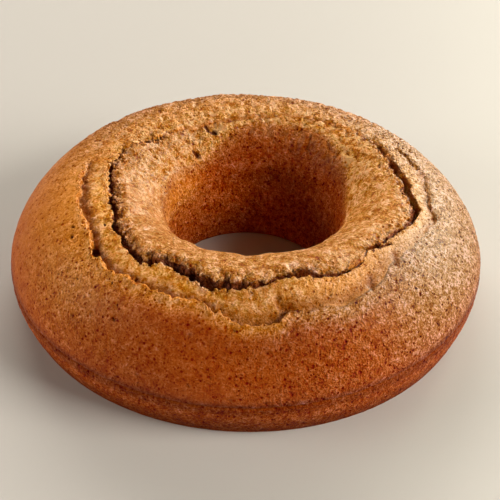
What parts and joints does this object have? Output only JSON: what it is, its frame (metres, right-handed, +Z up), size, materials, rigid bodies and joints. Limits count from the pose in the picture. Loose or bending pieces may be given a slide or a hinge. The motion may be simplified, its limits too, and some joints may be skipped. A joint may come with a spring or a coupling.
{
  "type": "ring cake",
  "caption": "Uncut baked ring cake with a domed, cracked top, torn crust round the crown and an open centre hole.",
  "frame": {"origin": "centre of the cake's level foot, on the surface it stands on", "axes": "+Z up through the centre hole, -Y towards the side with the widest crack, +X to that side's right"},
  "size_m": [0.25, 0.25, 0.0674],
  "materials": {
    "cake_crust": null
  },
  "bodies": {
    "root": {"cake": "cake_crust"}
  },
  "joints": []
}
